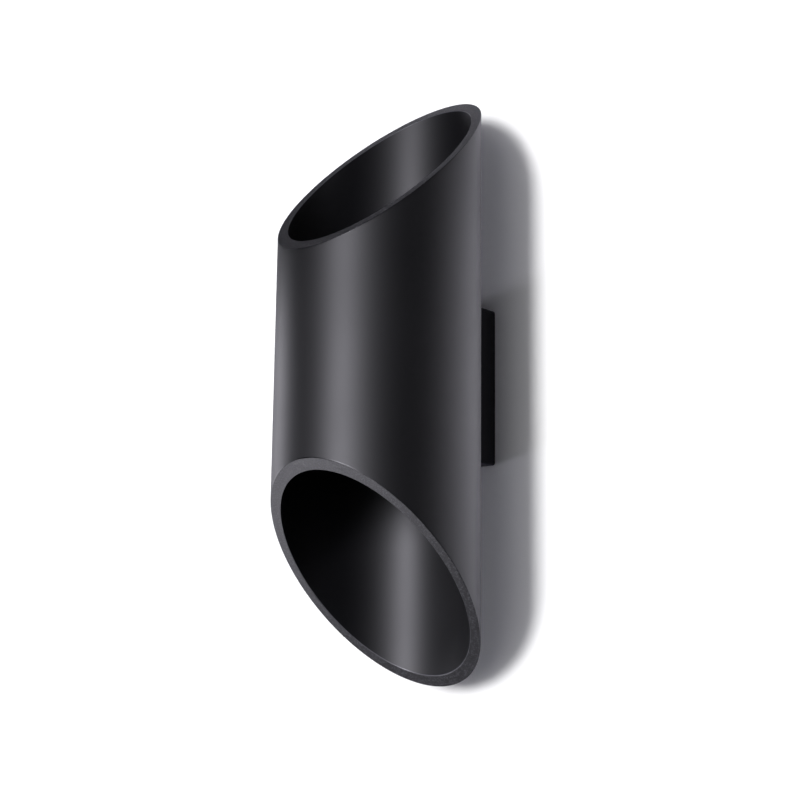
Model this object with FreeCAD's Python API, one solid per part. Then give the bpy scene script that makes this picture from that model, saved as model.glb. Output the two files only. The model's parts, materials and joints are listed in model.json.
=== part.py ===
import FreeCAD, Part
import math
import os

# A tube wall light: a thick round tube with both ends mitred, lit upwards and
# downwards, on a small box canopy that slides over a folded wall bracket.
# Millimetres. Origin: middle of the bracket's two wall slots, on the wall.
# +Y goes into the wall, +Z is up, and the light stands out towards -Y.

# Tube
tube_diameter = 100.0
tube_wall = 5.0
tube_height = 300.0  # at the back, where the tube is longest
mitre_angle = 45.0  # both ends, from level, shorter towards the front

# Canopy, a folded and welded box that is open to the wall
canopy_width = 40.0
canopy_height = 80.0
canopy_depth = 18.0
canopy_sheet = 1.2
canopy_bend = 1.5  # outer radius of its edges
canopy_rim_gap = 0.3  # rim to wall

# Wall bracket, a strip folded to a channel that the canopy slides over
bracket_width = 30.0
bracket_sheet = 1.5
bracket_bend = 1.0  # inner radius
bracket_ear = 12.5  # wall to the ear's tip
bracket_corner = 4.0
wall_hole_spacing = 56.0
wall_slot_width = 4.5
wall_slot_length = 9.0
cable_hole = 12.0

# Clamp screws, one through each ear, heads outside the canopy
clamp_screw_diameter = 4.0
clamp_screw_length = 5.0
clamp_screw_inset = 7.0  # wall to the screw's axis
clamp_slot_play = 0.4

# Screws that hold the tube, canopy and lampholder bracket together
tube_screw_diameter = 4.0
tube_screw_length = 14.0
tube_screw_spacing = 20.0
star_washer_thickness = 0.5
star_washer_teeth = 10

# Proportions of screws, studs and washers, in thread diameters
pan_head_width = 1.95
pan_head_height = 0.65
pan_head_chamfer = 0.26
recess_width = 1.0
recess_depth = 0.36
recess_blade = 0.22
tip_chamfer = 0.12
washer_width = 2.1
washer_notch_root = 0.82  # axis to the root of a notch
washer_notch_width = 0.2

# Clinch nuts, pressed into a sheet from its inner face
clinch_body_width = 1.75  # in thread diameters
clinch_body_height = 0.55  # in thread diameters
clinch_pilot_wall = 0.7
clinch_chamfer = 0.3

# Studs with a flush head in the canopy's front sheet
flush_head_rim = 0.8

# Lampholder bracket, a channel with a round pad at the end of each arm
arm_spread = 32.0  # outer face to outer face
arm_width = 24.0
arm_sheet = 1.5
arm_bend = 1.0
pad_diameter = 38.0
lead_slot_length = 16.0
lead_slot_width = 6.0

# Lampholders, ceramic, for a capsule lamp with two looped pins
holder_length = 20.0
holder_width = 13.0
holder_height = 22.0
holder_edge = 0.8
flange_length = 36.0
flange_width = 14.0
flange_thickness = 4.0
holder_screw_spacing = 27.0
holder_screw_diameter = 3.0
holder_screw_length = 10.0
holder_nut_width = 5.5  # across flats
holder_nut_height = 2.4
pin_pitch = 9.0
pin_slot_length = 3.6
pin_slot_width = 1.8
lamp_seat_length = 15.5
lamp_seat_width = 6.4
lamp_seat_depth = 2.0
chamber_length = 4.6
chamber_width = 4.2
chamber_roof = 4.0  # ceramic between the chambers and the lamp's seat
contact_sheet = 0.4
contact_height = 11.5
leaf_foot_share = 0.2  # of a leaf's height, where it leaves the chamber's wall
leaf_throat_share = 0.8  # of a leaf's height, where it pinches the pin
leaf_mouth_share = 0.75  # of the chamber's half width
crimp_wall = 0.3
crimp_length = 4.0

# Leads and what carries them
lead_diameter = 2.2
lead_gap = 0.2  # between two leads that lie side by side
lead_bend = 10.0  # largest radius of a lead's bends
lead_turn_inset = 8.6  # canopy's inner face to the outer leads' turn
lead_bend_share = 0.45  # of the shorter run beside a bend
fan_across = 0.7  # of the way across to a lead's pole, at the middle of its fan
fan_down = 0.64  # of the way down to the block, there
fan_end = 0.97  # of the way down to the block, where a lead is over its pole
earth_lead_low = 0.5  # of the way down to the block, where the earth lead bends out
earth_lead_high = 0.7  # of the way up to the lug, where it bends back
bush_wall = 0.9
bush_flange_diameter = 9.6
bush_flange_thickness = 1.2
bush_overlap = 1.0  # how far it stands past the lampholder bracket
sleeve_length = 16.0
sleeve_wall = 0.5

# Terminal block, three poles, screws towards the wall
pole_count = 3
pole_pitch = 10.5
block_length = 14.0
block_wall = 0.8
block_floor = 1.2
block_clearance = 1.3  # block to the lower ear's nut
chimney_diameter = 6.0
chimney_height = 3.1
waist_share = 0.4  # of the block's length, between two poles
insert_size = 5.6
insert_bore = 4.2
insert_length = 11.0
terminal_screw_diameter = 3.0
terminal_screw_spacing = 6.8
terminal_head_diameter = 3.9
terminal_head_height = 1.6
terminal_head_lift = 0.4  # above the roof of its pole
terminal_slot_width = 0.8
ferrule_diameter = 1.6
ferrule_length = 6.0
ferrule_entry = 1.0  # block's face to the end of a lead's insulation
block_stud_diameter = 2.5
block_nut_width = 5.0  # across flats
block_nut_height = 2.0

# Earth stud on the canopy, with its lug
earth_stud_diameter = 4.0
earth_stud_length = 8.0
earth_stud_across = 12.0
earth_stud_inset = 16.0  # canopy's top to the stud
earth_nut_width = 7.0  # across flats
earth_nut_height = 3.2
lug_thickness = 0.8
lug_ring = 8.0
lug_neck_width = 3.6
lug_barrel_wall = 0.5
lug_barrel_length = 5.0

# Clearances
line_gap = 0.1  # where a curved face lies along a flat one
screw_play = 0.25  # radial, screw in a plain hole
thread_gap = 0.05  # radial, screw in its thread, stud in its sheet
slide_gap = 0.3  # bracket ears inside the canopy
fit_gap = 0.1  # plastic, ceramic and metal pieces in their pockets
washer_play = 0.4  # over the thread
over = 1.0  # how far a cutting tool stands past what it cuts
near = 0.1  # how close an edge lies to the face that it is picked by

# Places that follow from the sizes above
tube_radius = tube_diameter / 2
tube_inner = tube_radius - tube_wall
axis_y = -(canopy_depth + line_gap + tube_radius)
canopy_floor_y = -(canopy_depth - canopy_sheet)
ear_face_z = canopy_height / 2 - canopy_sheet - slide_gap
web_edge_y = math.sqrt(tube_inner ** 2 - (arm_width / 2) ** 2)
web_back_y = axis_y + web_edge_y - line_gap
web_front_y = web_back_y - arm_sheet
arm_face_z = arm_spread / 2
bush_bore = 2 * ((lead_diameter + lead_gap) / math.sqrt(2) + lead_diameter / 2 + fit_gap)
bush_diameter = bush_bore + 2 * bush_wall
bush_end_y = web_front_y - bush_overlap
lead_offset = (lead_diameter + lead_gap) / 2
ear_inner_z = ear_face_z - bracket_sheet
clamp_nut_height = clamp_screw_diameter * clinch_body_height
block_mid_z = block_length / 2 + block_clearance + clamp_nut_height - ear_inner_z
block_top_z = block_mid_z + block_length / 2
earth_stud_up = canopy_height / 2 - earth_stud_inset
pole_width = insert_size + 2 * (fit_gap + block_wall)
insert_y = canopy_floor_y + block_floor + fit_gap + insert_size / 2
pole_height = block_floor + insert_size + 2 * fit_gap + block_wall
earth_pole_x = pole_pitch
neutral_pole_x = 0.0
live_pole_x = -pole_pitch

origin = FreeCAD.Vector(0, 0, 0)
along_y = FreeCAD.Vector(0, 1, 0)
along_z = FreeCAD.Vector(0, 0, 1)


def point(x, y, z):
    return FreeCAD.Vector(x, y, z)


def block(low, high):
    size = high - low
    return Part.makeBox(size.x, size.y, size.z, low)


def rod(diameter, length, base, direction):
    return Part.makeCylinder(diameter / 2, length, base, direction)


def ring(outer, inner, length, base, direction):
    hole_base = base - direction * over
    return rod(outer, length, base, direction).cut(rod(inner, length + 2 * over, hole_base, direction))


def placed(shape, base, direction):
    # Moves a shape that was made upright at the origin.
    shape.Placement = FreeCAD.Placement(base, FreeCAD.Rotation(along_z, direction))
    return shape


def mirrored_down(shape):
    return shape.mirror(origin, along_z)


def stadium(length, width, height, base):
    # An upright prism with round ends, its length along X.
    straight = (length - width) / 2
    middle = block(
        base - point(straight, width / 2, 0),
        base + point(straight, width / 2, height),
    )
    ends = [rod(width, height, base + point(side * straight, 0, 0), along_z) for side in (-1, 1)]
    return middle.multiFuse(ends).removeSplitter()


def upright_slot(length, width, depth, base):
    # A stadium cut along Y, its length upright.
    slot = stadium(length, width, depth, origin)
    slot.rotate(origin, along_y, 90)
    slot.rotate(origin, along_z, 90)
    slot.translate(base)
    return slot


def prism(outline, low_x, width):
    # A closed outline of (y, z) corners, carried along X.
    corners = [point(low_x, y, z) for y, z in outline]
    corners.append(corners[0])
    return Part.Face(Part.makePolygon(corners)).extrude(point(width, 0, 0))


def edges_where(shape, test):
    return [edge for edge in shape.Edges if test(edge.BoundBox)]


def hexagon_nut(diameter, across_flats, height, base, direction):
    corner_radius = across_flats / math.sqrt(3)
    corners = []
    for step in range(7):
        turn = math.radians(60 * step)
        corners.append(point(corner_radius * math.cos(turn), corner_radius * math.sin(turn), 0))
    body = Part.Face(Part.makePolygon(corners)).extrude(point(0, 0, height))
    bore = rod(diameter + 2 * thread_gap, height + 2 * over, point(0, 0, -over), along_z)
    return placed(body.cut(bore), base, direction)


def clinch_nut(diameter, sheet, base, direction):
    # A round nut pressed into a sheet: its pilot fills the hole, its body stands on the face.
    pilot = rod(diameter + 2 * clinch_pilot_wall, sheet, point(0, 0, -sheet), along_z)
    body = rod(diameter * clinch_body_width, diameter * clinch_body_height, origin, along_z)
    top_edge = edges_where(body, lambda box: box.ZMin > near and box.ZLength < near)
    body = body.makeChamfer(clinch_chamfer, top_edge)
    bore_length = sheet + diameter + 2 * over
    bore = rod(diameter + 2 * thread_gap, bore_length, point(0, 0, -sheet - over), along_z)
    return placed(pilot.fuse(body).cut(bore), base, direction)


def clinch_hole(diameter, sheet, base, direction):
    # The hole in the sheet that a clinch nut's pilot fills.
    width = diameter + 2 * (clinch_pilot_wall + thread_gap)
    hole = rod(width, sheet + 2 * over, point(0, 0, -sheet - over), along_z)
    return placed(hole, base, direction)


def pan_screw(diameter, length, base, direction):
    # The head's underside lies on base and the shank runs along direction.
    head_height = diameter * pan_head_height
    head = rod(diameter * pan_head_width, head_height, point(0, 0, -head_height), along_z)
    top_edge = edges_where(head, lambda box: box.ZMax < -head_height + near)
    head = head.makeChamfer(diameter * pan_head_chamfer, top_edge)
    shank = rod(diameter, length, origin, along_z)
    tip_edge = edges_where(shank, lambda box: box.ZMin > length - near)
    shank = shank.makeChamfer(diameter * tip_chamfer, tip_edge)
    arm = diameter * recess_width / 2
    blade = diameter * recess_blade / 2
    low = point(-arm, -blade, -head_height - over)
    high = point(arm, blade, -head_height + diameter * recess_depth)
    first = block(low, high)
    second = first.copy()
    second.rotate(origin, along_z, 90)
    return placed(head.fuse(shank).cut(first.fuse(second)), base, direction)


def star_washer(diameter, base, direction):
    width = diameter * washer_width
    body = ring(width, diameter + washer_play, star_washer_thickness, origin, along_z)
    half_notch = diameter * washer_notch_width / 2
    notch = block(
        point(diameter * washer_notch_root, -half_notch, -over),
        point(width, half_notch, star_washer_thickness + over),
    )
    notches = []
    for step in range(star_washer_teeth):
        turned = notch.copy()
        turned.rotate(origin, along_z, step * 360 / star_washer_teeth)
        notches.append(turned)
    return placed(body.cut(notches), base, direction)


def flush_stud(diameter, length, x, z):
    # A threaded stud pressed into the canopy's front sheet, its head flush with the outside.
    head_height = canopy_sheet / 2
    head = rod(diameter + 2 * flush_head_rim, head_height, point(x, -canopy_depth, z), along_y)
    shank = rod(diameter, canopy_sheet + length, point(x, -canopy_depth, z), along_y)
    tip_y = canopy_floor_y + length
    tip_edge = edges_where(shank, lambda box: box.YMin > tip_y - near)
    shank = shank.makeChamfer(diameter * tip_chamfer, tip_edge)
    return head.fuse(shank)


def flush_stud_hole(diameter, x, z):
    start = point(x, -canopy_depth - over, z)
    head_height = canopy_sheet / 2
    head_width = diameter + 2 * (flush_head_rim + thread_gap)
    head = rod(head_width, head_height + over, start, along_y)
    shank = rod(diameter + 2 * thread_gap, canopy_sheet + 2 * over, start, along_y)
    return head.fuse(shank)


def folded_channel(width, height, reach, sheet, inner_bend, back_y):
    # A strip folded to a U: its web is square to Y at the back, its arms reach towards -Y.
    outer = block(
        point(-width / 2, back_y - reach, -height / 2),
        point(width / 2, back_y, height / 2),
    )
    back_edges = edges_where(outer, lambda box: box.YMin > back_y - near and box.ZLength < near)
    outer = outer.makeFillet(inner_bend + sheet, back_edges)
    web_y = back_y - sheet
    inner = block(
        point(-width / 2 - over, back_y - reach - over, -height / 2 + sheet),
        point(width / 2 + over, web_y, height / 2 - sheet),
    )
    web_edges = edges_where(inner, lambda box: box.YMin > web_y - near and box.ZLength < near)
    return outer.cut(inner.makeFillet(inner_bend, web_edges))


def wire_path(points):
    # Straight runs joined by tangent arcs, each as large as its two runs allow.
    edges = []
    start = points[0]
    for before, corner, after in zip(points, points[1:], points[2:]):
        to_before = before - corner
        to_after = after - corner
        half_angle = to_before.getAngle(to_after) / 2
        room = lead_bend_share * min(to_before.Length, to_after.Length)
        radius = min(lead_bend, room * math.tan(half_angle))
        trim = radius / math.tan(half_angle)
        to_before.normalize()
        to_after.normalize()
        bisector = to_before + to_after
        bisector.normalize()
        arc_start = corner + to_before * trim
        arc_end = corner + to_after * trim
        arc_middle = corner + bisector * (radius / math.sin(half_angle) - radius)
        edges.append(Part.LineSegment(start, arc_start).toShape())
        edges.append(Part.Arc(arc_start, arc_middle, arc_end).toShape())
        start = arc_end
    edges.append(Part.LineSegment(start, points[-1]).toShape())
    return Part.Wire(edges)


def lead_solid(points):
    first_run = points[1] - points[0]
    section = Part.Wire(Part.makeCircle(lead_diameter / 2, points[0], first_run))
    return wire_path(points).makePipe(Part.Face(section))


def tube_shade():
    back_y = axis_y + tube_radius
    front_y = axis_y - tube_radius
    slope = math.tan(math.radians(mitre_angle))
    top = tube_height / 2
    margin = tube_wall
    low = point(0, axis_y, -top - margin)
    shade = ring(tube_diameter, 2 * tube_inner, tube_height + 2 * margin, low, along_z)
    ceiling = top + (tube_diameter + margin) * slope
    outline = [
        (back_y + margin, top + margin * slope),
        (front_y - margin, top - (tube_diameter + margin) * slope),
        (front_y - margin, ceiling),
        (back_y + margin, ceiling),
    ]
    mitre = prism(outline, -tube_diameter, 2 * tube_diameter)
    shade = shade.cut([mitre, mirrored_down(mitre)])
    start = point(0, axis_y + tube_inner - over, 0)
    drill = tube_wall + 2 * over
    holes = [rod(bush_diameter + 2 * fit_gap, drill, start, along_y)]
    for side in (-1, 1):
        base = start + along_z * (side * tube_screw_spacing / 2)
        holes.append(rod(tube_screw_diameter + 2 * screw_play, drill, base, along_y))
    return shade.cut(holes)


def canopy():
    half_width = canopy_width / 2
    half_height = canopy_height / 2
    outer = block(
        point(-half_width, -canopy_depth, -half_height),
        point(half_width, -canopy_rim_gap, half_height),
    )
    folds = edges_where(outer, lambda box: box.YMin < -canopy_rim_gap - near)
    outer = outer.makeFillet(canopy_bend, folds)
    inner = block(
        point(-half_width + canopy_sheet, canopy_floor_y, -half_height + canopy_sheet),
        point(half_width - canopy_sheet, over, half_height - canopy_sheet),
    )
    inner_folds = edges_where(inner, lambda box: box.YMin < 0)
    shell = outer.cut(inner.makeFillet(canopy_bend - canopy_sheet, inner_folds))
    start = point(0, -canopy_depth - over, 0)
    drill = canopy_sheet + 2 * over
    cuts = [rod(bush_diameter + 2 * fit_gap, drill, start, along_y)]
    for side in (-1, 1):
        base = start + along_z * (side * tube_screw_spacing / 2)
        cuts.append(rod(tube_screw_diameter + 2 * screw_play, drill, base, along_y))
        # Open slot that lets the canopy slide off under a loosened clamp screw.
        slot_width = clamp_screw_diameter + clamp_slot_play
        slot_low = min(side * half_height, side * (half_height - canopy_sheet)) - over
        slot_high = slot_low + canopy_sheet + 2 * over
        cuts.append(block(
            point(-slot_width / 2, -clamp_screw_inset, slot_low),
            point(slot_width / 2, over, slot_high),
        ))
        slot_end = point(0, -clamp_screw_inset, slot_low)
        cuts.append(rod(slot_width, slot_high - slot_low, slot_end, along_z))
        cuts.append(flush_stud_hole(block_stud_diameter, side * pole_pitch / 2, block_mid_z))
    cuts.append(flush_stud_hole(earth_stud_diameter, earth_stud_across, earth_stud_up))
    return shell.cut(cuts)


def wall_bracket():
    height = 2 * ear_face_z
    strip = folded_channel(bracket_width, height, bracket_ear, bracket_sheet, bracket_bend, 0)
    tip_edges = edges_where(
        strip,
        lambda box: box.YMax < near - bracket_ear and box.XLength < near < box.ZLength,
    )
    strip = strip.makeFillet(bracket_corner, tip_edges)
    start = point(0, -bracket_sheet - over, 0)
    drill = bracket_sheet + 2 * over
    cuts = [rod(cable_hole, drill, start, along_y)]
    for side in (-1, 1):
        middle = side * wall_hole_spacing / 2
        slot_base = start + along_z * middle
        cuts.append(upright_slot(wall_slot_length, wall_slot_width, drill, slot_base))
        inner_face = point(0, -clamp_screw_inset, side * ear_inner_z)
        cuts.append(clinch_hole(clamp_screw_diameter, bracket_sheet, inner_face, along_z * -side))
    return strip.cut(cuts)


def bracket_nuts():
    nuts = []
    for side in (-1, 1):
        inner_face = point(0, -clamp_screw_inset, side * ear_inner_z)
        nuts.append(clinch_nut(clamp_screw_diameter, bracket_sheet, inner_face, along_z * -side))
    return Part.makeCompound(nuts)


def clamp_screw(side):
    seat = point(0, -clamp_screw_inset, side * canopy_height / 2)
    return pan_screw(clamp_screw_diameter, clamp_screw_length, seat, along_z * -side)


def tube_screw_seats():
    return [point(0, canopy_floor_y, side * tube_screw_spacing / 2) for side in (-1, 1)]


def tube_screw_washers():
    washers = [star_washer(tube_screw_diameter, seat, along_y) for seat in tube_screw_seats()]
    return Part.makeCompound(washers)


def tube_screws():
    lift = along_y * star_washer_thickness
    screws = []
    for seat in tube_screw_seats():
        screws.append(pan_screw(tube_screw_diameter, tube_screw_length, seat + lift, along_y * -1))
    return Part.makeCompound(screws)


def lampholder_bracket():
    reach = web_back_y - (axis_y - pad_diameter / 2)
    channel = folded_channel(pad_diameter, arm_spread, reach, arm_sheet, arm_bend, web_back_y)
    strip = block(
        point(-arm_width / 2, axis_y, -arm_spread),
        point(arm_width / 2, web_back_y, arm_spread),
    )
    pad = rod(pad_diameter, 2 * arm_spread, point(0, axis_y, -arm_spread), along_z)
    bracket = channel.common(strip.fuse(pad))
    neck_edges = edges_where(
        bracket,
        lambda box: box.YLength < near and axis_y + over < box.YMin < web_front_y - arm_bend - over,
    )
    bracket = bracket.makeFillet(bracket_corner, neck_edges)
    tall = 2 * arm_spread
    cuts = [stadium(lead_slot_length, lead_slot_width, tall, point(0, axis_y, -arm_spread))]
    start = point(0, web_front_y - over, 0)
    cuts.append(rod(bush_diameter + 2 * fit_gap, arm_sheet + 2 * over, start, along_y))
    for side in (-1, 1):
        screw_x = side * holder_screw_spacing / 2
        hole_base = point(screw_x, axis_y, -arm_spread)
        cuts.append(rod(holder_screw_diameter + 2 * screw_play, tall, hole_base, along_z))
        nut_face = point(0, web_front_y, side * tube_screw_spacing / 2)
        cuts.append(clinch_hole(tube_screw_diameter, arm_sheet, nut_face, along_y * -1))
    return bracket.cut(cuts)


def tube_nuts():
    nuts = []
    for side in (-1, 1):
        nut_face = point(0, web_front_y, side * tube_screw_spacing / 2)
        nuts.append(clinch_nut(tube_screw_diameter, arm_sheet, nut_face, along_y * -1))
    return Part.makeCompound(nuts)


def lampholder():
    base = point(0, axis_y, arm_face_z)
    top_z = arm_face_z + holder_height
    body = stadium(holder_length, holder_width, holder_height, base)
    flange = stadium(flange_length, flange_width, flange_thickness, base)
    body = body.makeChamfer(holder_edge, edges_where(body, lambda box: box.ZMin > top_z - near))
    flange_top = arm_face_z + flange_thickness
    flange = flange.makeChamfer(holder_edge, edges_where(flange, lambda box: box.ZMin > flange_top - near))
    body = body.fuse(flange)
    seat_base = point(0, axis_y, top_z - lamp_seat_depth)
    cuts = [stadium(lamp_seat_length, lamp_seat_width, lamp_seat_depth + over, seat_base)]
    chamber_top = top_z - lamp_seat_depth - chamber_roof
    for side in (-1, 1):
        pin_x = side * pin_pitch / 2
        cuts.append(block(
            point(pin_x - chamber_width / 2, axis_y - chamber_length / 2, arm_face_z - over),
            point(pin_x + chamber_width / 2, axis_y + chamber_length / 2, chamber_top),
        ))
        cuts.append(block(
            point(pin_x - pin_slot_width / 2, axis_y - pin_slot_length / 2, chamber_top - over),
            point(pin_x + pin_slot_width / 2, axis_y + pin_slot_length / 2, top_z),
        ))
        hole_base = point(side * holder_screw_spacing / 2, axis_y, arm_face_z - over)
        hole_length = flange_thickness + 2 * over
        cuts.append(rod(holder_screw_diameter + 2 * screw_play, hole_length, hole_base, along_z))
    return body.cut(cuts)


def crimp_base_z():
    chamber_top = arm_face_z + holder_height - lamp_seat_depth - chamber_roof
    return chamber_top - fit_gap - contact_height - contact_sheet - crimp_length


def contact(pin_x):
    # A tulip of two spring leaves on a bridge, with a crimp barrel under it for the lead.
    barrel_z = crimp_base_z()
    bridge_z = barrel_z + crimp_length
    leaf_z = bridge_z + contact_sheet
    foot = chamber_width / 2 - fit_gap
    pinch = pin_slot_width / 2 - contact_sheet
    mouth = foot * leaf_mouth_share
    depth = chamber_length - 2 * fit_gap
    low_y = axis_y - depth / 2
    outline = [
        (foot, 0),
        (foot, contact_height * leaf_foot_share),
        (pinch + contact_sheet, contact_height * leaf_throat_share),
        (mouth, contact_height),
        (mouth - contact_sheet, contact_height),
        (pinch, contact_height * leaf_throat_share),
        (foot - contact_sheet, contact_height * leaf_foot_share),
        (foot - contact_sheet, 0),
    ]
    leaves = []
    for side in (-1, 1):
        corners = [point(pin_x + side * x, low_y, leaf_z + z) for x, z in outline]
        corners.append(corners[0])
        leaves.append(Part.Face(Part.makePolygon(corners)).extrude(point(0, depth, 0)))
    bridge = block(
        point(pin_x - foot, low_y, bridge_z),
        point(pin_x + foot, low_y + depth, leaf_z),
    )
    bore = lead_diameter + 2 * thread_gap
    barrel = ring(bore + 2 * crimp_wall, bore, crimp_length, point(pin_x, axis_y, barrel_z), along_z)
    return bridge.multiFuse(leaves + [barrel])


def contacts():
    return Part.makeCompound([contact(side * pin_pitch / 2) for side in (-1, 1)])


def holder_screws():
    seat_z = arm_face_z + flange_thickness
    screws = []
    for side in (-1, 1):
        seat = point(side * holder_screw_spacing / 2, axis_y, seat_z)
        screws.append(pan_screw(holder_screw_diameter, holder_screw_length, seat, along_z * -1))
    return Part.makeCompound(screws + [mirrored_down(screw) for screw in screws])


def holder_nuts():
    seat_z = arm_face_z - arm_sheet
    nuts = []
    for side in (-1, 1):
        seat = point(side * holder_screw_spacing / 2, axis_y, seat_z)
        nuts.append(hexagon_nut(holder_screw_diameter, holder_nut_width, holder_nut_height, seat, along_z * -1))
    return Part.makeCompound(nuts + [mirrored_down(nut) for nut in nuts])


def lead_bush():
    sleeve = rod(bush_diameter, canopy_floor_y - bush_end_y, point(0, bush_end_y, 0), along_y)
    end_edge = edges_where(sleeve, lambda box: box.YMax < bush_end_y + near)
    sleeve = sleeve.makeChamfer(bush_wall / 2, end_edge)
    flange = rod(bush_flange_diameter, bush_flange_thickness, point(0, canopy_floor_y, 0), along_y)
    flange_y = canopy_floor_y + bush_flange_thickness
    flange_edge = edges_where(flange, lambda box: box.YMin > flange_y - near)
    flange = flange.makeChamfer(bush_flange_thickness / 2, flange_edge)
    bore = rod(bush_bore, canopy_depth * 2, point(0, bush_end_y - over, 0), along_y)
    return sleeve.fuse(flange).cut(bore)


def lead_sleeve():
    inner = bush_bore
    outer = inner + 2 * sleeve_wall
    start = point(0, bush_end_y - line_gap - sleeve_length, 0)
    return ring(outer, inner, sleeve_length, start, along_y)


def lamp_lead(level, side, pole_x):
    # level is 1 for the upper lampholder and -1 for the lower one.
    # Two leads lie in a pole, the upper lampholder's nearer the wall.
    across = side * lead_offset
    up = level * lead_offset
    turn_y = canopy_floor_y + lead_turn_inset + level * lead_offset
    sleeve_start_y = bush_end_y - line_gap - sleeve_length
    pole_y = insert_y + level * lead_offset
    mid_y = (turn_y + pole_y) / 2 + level * lead_gap
    points = [
        point(side * pin_pitch / 2, axis_y, level * (crimp_base_z() + crimp_length)),
        point(side * pin_pitch / 2, axis_y, up),
        point(across, sleeve_start_y - lead_bend / 2, up),
        point(across, turn_y, up),
        point(across + fan_across * (pole_x - across), mid_y, block_top_z * fan_down),
        point(pole_x, pole_y, block_top_z * fan_end),
        point(pole_x, pole_y, block_top_z - ferrule_entry),
    ]
    return lead_solid(points)


def earth_lead():
    pole_y = insert_y + lead_offset
    lug_y, lug_low_z = lug_barrel_place()
    bulge_x = (earth_pole_x + earth_stud_across) / 2 + lead_diameter
    points = [
        point(earth_pole_x, pole_y, block_top_z - ferrule_entry),
        point(earth_pole_x, pole_y, block_top_z * earth_lead_low),
        point(bulge_x, pole_y + lead_diameter / 2, 0),
        point(earth_stud_across, lug_y, lug_low_z * earth_lead_high),
        point(earth_stud_across, lug_y, lug_low_z + lug_barrel_length),
    ]
    return lead_solid(points)


def ferrules():
    places = []
    for level in (-1, 1):
        places.append((live_pole_x, insert_y + level * lead_offset))
        places.append((neutral_pole_x, insert_y + level * lead_offset))
    places.append((earth_pole_x, insert_y + lead_offset))
    base_z = block_top_z - ferrule_entry
    shapes = [rod(ferrule_diameter, ferrule_length, point(x, y, base_z), along_z * -1) for x, y in places]
    return Part.makeCompound(shapes)


def pole_centres():
    first = -(pole_count - 1) / 2
    return [(first + step) * pole_pitch for step in range(pole_count)]


def terminal_screw_places():
    places = []
    for x in pole_centres():
        for side in (-1, 1):
            places.append((x, block_mid_z + side * terminal_screw_spacing / 2))
    return places


def terminal_block():
    floor_y = canopy_floor_y
    low_z = block_mid_z - block_length / 2
    high_z = block_mid_z + block_length / 2
    poles = []
    for x in pole_centres():
        body = block(
            point(x - pole_width / 2, floor_y, low_z),
            point(x + pole_width / 2, floor_y + pole_height, high_z),
        )
        long_edges = edges_where(body, lambda box: box.YMin > floor_y + over and box.XLength < near)
        poles.append(body.makeChamfer(block_wall, long_edges))
    for x, z in terminal_screw_places():
        poles.append(rod(chimney_diameter, pole_height + chimney_height, point(x, floor_y, z), along_y))
    # Waists between the poles, each with a hole for a stud.
    waist = block_length * waist_share / 2
    for left, right in zip(pole_centres(), pole_centres()[1:]):
        poles.append(block(
            point(left, floor_y, block_mid_z - waist),
            point(right, floor_y + pole_height, block_mid_z + waist),
        ))
    body = poles[0].multiFuse(poles[1:]).removeSplitter()
    cuts = []
    pocket = insert_size / 2 + fit_gap
    pocket_half = insert_length / 2 + fit_gap
    mouth = insert_bore + block_wall
    for x in pole_centres():
        cuts.append(block(
            point(x - pocket, insert_y - pocket, block_mid_z - pocket_half),
            point(x + pocket, insert_y + pocket, block_mid_z + pocket_half),
        ))
        mouth_base = point(x, insert_y, low_z - over)
        cuts.append(rod(mouth, block_length + 2 * over, mouth_base, along_z))
    bore_diameter = terminal_head_diameter + 2 * fit_gap
    for x, z in terminal_screw_places():
        cuts.append(rod(bore_diameter, 2 * pole_height, point(x, insert_y, z), along_y))
    for left, right in zip(pole_centres(), pole_centres()[1:]):
        hole_base = point((left + right) / 2, floor_y - over, block_mid_z)
        hole_length = pole_height + 2 * over
        cuts.append(rod(block_stud_diameter + 2 * fit_gap, hole_length, hole_base, along_y))
    return body.cut(cuts)


def terminal_inserts():
    half = insert_size / 2
    shapes = []
    for x in pole_centres():
        body = block(
            point(x - half, insert_y - half, block_mid_z - insert_length / 2),
            point(x + half, insert_y + half, block_mid_z + insert_length / 2),
        )
        bore_base = point(x, insert_y, block_mid_z - insert_length)
        body = body.cut(rod(insert_bore, 2 * insert_length, bore_base, along_z))
        for screw_x, z in terminal_screw_places():
            if screw_x == x:
                thread = terminal_screw_diameter + 2 * thread_gap
                body = body.cut(rod(thread, insert_size, point(x, insert_y, z), along_y))
        shapes.append(body)
    return Part.makeCompound(shapes)


def terminal_screws():
    # Each screw's tip rests on the ferrules under it.
    tip_y = insert_y + lead_offset + ferrule_diameter / 2 + thread_gap
    head_y = canopy_floor_y + pole_height + terminal_head_lift
    shapes = []
    for x, z in terminal_screw_places():
        shank = rod(terminal_screw_diameter, head_y - tip_y, point(x, tip_y, z), along_y)
        head = rod(terminal_head_diameter, terminal_head_height, point(x, head_y, z), along_y)
        top_y = head_y + terminal_head_height
        groove = block(
            point(x - terminal_head_diameter, top_y - terminal_head_height / 2, z - terminal_slot_width / 2),
            point(x + terminal_head_diameter, top_y + over, z + terminal_slot_width / 2),
        )
        shapes.append(shank.fuse(head).cut(groove))
    return Part.makeCompound(shapes)


def block_stud_places():
    centres = pole_centres()
    return [(left + right) / 2 for left, right in zip(centres, centres[1:])]


def block_studs():
    length = pole_height + block_nut_height + thread_gap
    studs = [flush_stud(block_stud_diameter, length, x, block_mid_z) for x in block_stud_places()]
    return Part.makeCompound(studs)


def block_nuts():
    seat_y = canopy_floor_y + pole_height
    nuts = []
    for x in block_stud_places():
        seat = point(x, seat_y, block_mid_z)
        nuts.append(hexagon_nut(block_stud_diameter, block_nut_width, block_nut_height, seat, along_y))
    return Part.makeCompound(nuts)


def earth_stud():
    return flush_stud(earth_stud_diameter, earth_stud_length, earth_stud_across, earth_stud_up)


def earth_washer():
    seat = point(earth_stud_across, canopy_floor_y, earth_stud_up)
    return star_washer(earth_stud_diameter, seat, along_y)


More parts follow.
